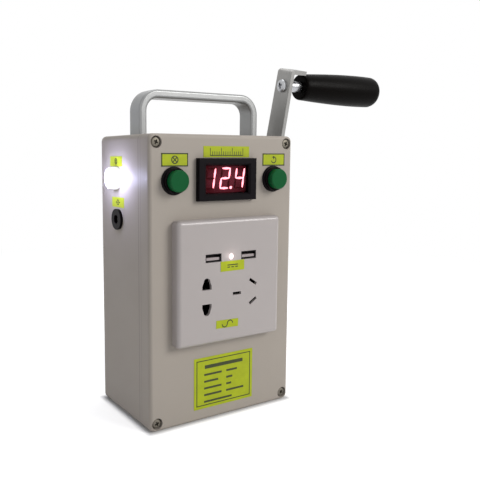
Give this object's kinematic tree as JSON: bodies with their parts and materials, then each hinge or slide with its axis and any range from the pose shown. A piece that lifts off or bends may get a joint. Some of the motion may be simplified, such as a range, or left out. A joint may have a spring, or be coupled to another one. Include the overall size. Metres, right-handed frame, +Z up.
{
  "type": "hand crank generator",
  "caption": "Portable hand crank generator: upright plastic box with a carry handle, a side crank, push buttons, a lit voltage meter, a mains and USB outlet plate and a side lamp.",
  "frame": {"origin": "centre of the box's flat underside, where it stands", "axes": "+Z up, +X to the right towards the crank, -Y to the front panel"},
  "size_m": [0.229, 0.0836, 0.2527],
  "materials": {
    "case_plastic": "fine moulded ABS, light warm grey",
    "gasket_rubber": "matt",
    "zinc_steel": "zinc plated",
    "ground_steel": "ground",
    "spring_steel": "drawn wire",
    "handle_aluminium": "satin anodised",
    "crank_steel": "dull plated flat bar",
    "sink_aluminium": "extruded",
    "plate_plastic": "polished white",
    "frame_plastic": "moulded white",
    "contact_brass": "rolled strip",
    "gear_brass": "machined",
    "usb_steel": "nickel plated",
    "usb_plastic": "moulded white",
    "pilot_light": "glowing pink-white",
    "black_plastic": "moulded black",
    "meter_glass": "clear dark red",
    "display_plastic": "dark display block",
    "button_green": "green",
    "lamp_chrome": "bright",
    "lamp_glass": "clear",
    "lamp_light": "lit white",
    "sticker": "satin yellow-green tape",
    "grip_plastic": "black, lightly polished",
    "generator_steel": "plated can",
    "magnet": "sintered ferrite",
    "rotor_iron": "laminated and wound",
    "cell_wrap": "blue sleeve",
    "holder_plastic": "moulded black",
    "board": "green solder mask",
    "standoff_nylon": "nylon",
    "transformer": "taped winding on a laminated core",
    "capacitor_sleeve": "sleeved can"
  },
  "bodies": {
    "case": {"case_shell": "case_plastic", "front_cover": "case_plastic", "cover_gasket": "gasket_rubber", "cover_screws": "zinc_steel", "handle_screws": "zinc_steel", "socket_screws": "zinc_steel", "gearbox_screws": "zinc_steel", "lamp_nut": "zinc_steel", "plate_pillars": "zinc_steel", "gear_plate_outer": "zinc_steel", "gear_plate_inner": "zinc_steel", "idler_shaft": "ground_steel", "button_left_spring": "spring_steel", "button_right_spring": "spring_steel", "carry_handle": "handle_aluminium", "heat_sink": "sink_aluminium", "socket_faceplate": "plate_plastic", "socket_frame": "frame_plastic", "socket_contacts": "contact_brass", "crank_bush": "gear_brass", "usb_shells": "usb_steel", "charge_jack_pin": "usb_steel", "usb_tongues": "usb_plastic", "pilot_lens": "pilot_light", "meter_bezel": "black_plastic", "button_bodies": "black_plastic", "button_nuts": "black_plastic", "charge_jack_body": "black_plastic", "charge_jack_nut": "black_plastic", "meter_window": "meter_glass", "meter_display": "display_plastic", "lamp_bezel": "lamp_chrome", "lamp_reflector": "lamp_chrome", "lamp_lens": "lamp_glass", "lamp_led": "lamp_light", "panel_labels": "sticker", "generator_can": "generator_steel", "generator_end_cap": "generator_steel", "generator_magnets": "magnet", "battery_cells": "cell_wrap", "battery_holders": "holder_plastic", "inverter_board": "board", "charge_board": "board", "board_standoffs": "standoff_nylon", "inverter_transformer": "transformer", "inverter_capacitors": "capacitor_sleeve"},
    "crank": {"crank_shaft": "ground_steel", "crank_arm": "crank_steel", "crank_nut": "zinc_steel", "grip_spindle": "ground_steel", "grip_nut": "zinc_steel", "drive_wheel": "ground_steel"},
    "grip": {"grip": "grip_plastic", "grip_cap": "grip_plastic"},
    "idler": {"idler_gear": "gear_brass"},
    "rotor": {"generator_shaft": "ground_steel", "generator_rotor": "rotor_iron", "generator_pinion": "ground_steel"},
    "button_left": {"button_left_cap": "button_green"},
    "button_right": {"button_right_cap": "button_green"}
  },
  "joints": [
    {"name": "crank_turn", "type": "hinge", "parent": "case", "child": "crank", "pos_m": [0.06, 0, 0.161], "axis": [1, 0, 0], "continuous": true},
    {"name": "grip_turn", "type": "hinge", "parent": "crank", "child": "grip", "pos_m": [0.083, -0.01868, 0.23879], "axis": [1, 0, 0], "continuous": true},
    {"name": "idler_turn", "type": "hinge", "parent": "case", "child": "idler", "pos_m": [0.05, 0.00778, 0.13203], "axis": [1, 0, 0], "continuous": true},
    {"name": "rotor_turn", "type": "hinge", "parent": "case", "child": "rotor", "pos_m": [0.047, 0.014, 0.10885], "axis": [1, 0, 0], "continuous": true},
    {"name": "button_left_press", "type": "slide", "parent": "case", "child": "button_left", "axis": [0, 1, 0], "range_m": [0, 0.003], "stiffness_N_per_m": 300, "springref_m": -0.003, "deforming": ["button_left_spring"]},
    {"name": "button_right_press", "type": "slide", "parent": "case", "child": "button_right", "axis": [0, 1, 0], "range_m": [0, 0.003], "stiffness_N_per_m": 300, "springref_m": -0.003, "deforming": ["button_right_spring"]}
  ],
  "couplings": [
    {"joint": "idler_turn", "follows": "crank_turn", "ratio": -4},
    {"joint": "rotor_turn", "follows": "crank_turn", "ratio": 12}
  ]
}
